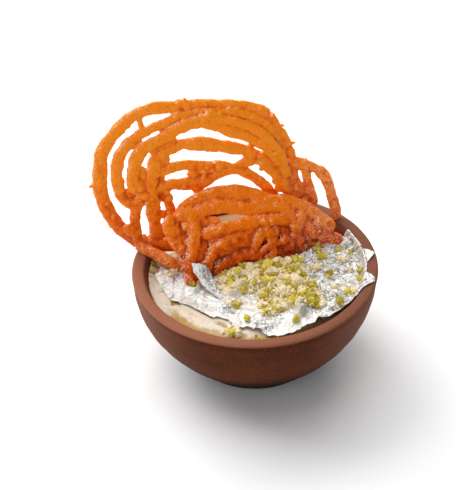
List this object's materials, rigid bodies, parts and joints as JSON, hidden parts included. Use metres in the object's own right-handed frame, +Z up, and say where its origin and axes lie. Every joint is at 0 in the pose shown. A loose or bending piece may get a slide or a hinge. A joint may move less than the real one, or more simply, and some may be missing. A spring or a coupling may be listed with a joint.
{
  "type": "jalebi in a bowl of rabri",
  "caption": "Clay bowl of rabri with two lacy jalebi standing in it, silver leaf over the top and a heap of chopped pistachio.",
  "frame": {"origin": "middle of the bowl's foot, on the surface the bowl stands on", "axes": "+Z up; the front of the dish, where the rabri and nuts lie open, faces -Y; the wide jalebi stands at the back, +Y"},
  "size_m": [0.1111, 0.096, 0.1026],
  "materials": {
    "clay": "unglazed red-brown clay, matt",
    "cream": "thick clotted cream, moist",
    "silver": "edible silver leaf, crumpled, bright",
    "nuts": "chopped pistachio, green and pale cream",
    "fried_rear": "fried batter soaked in syrup, orange",
    "fried_front": "fried batter soaked in syrup, deeper orange"
  },
  "bodies": {
    "root": {"clay_bowl": "clay", "rabri": "cream", "silver_leaf": "silver", "pistachio_heap": "nuts", "jalebi_rear": "fried_rear", "jalebi_front": "fried_front"}
  },
  "joints": []
}
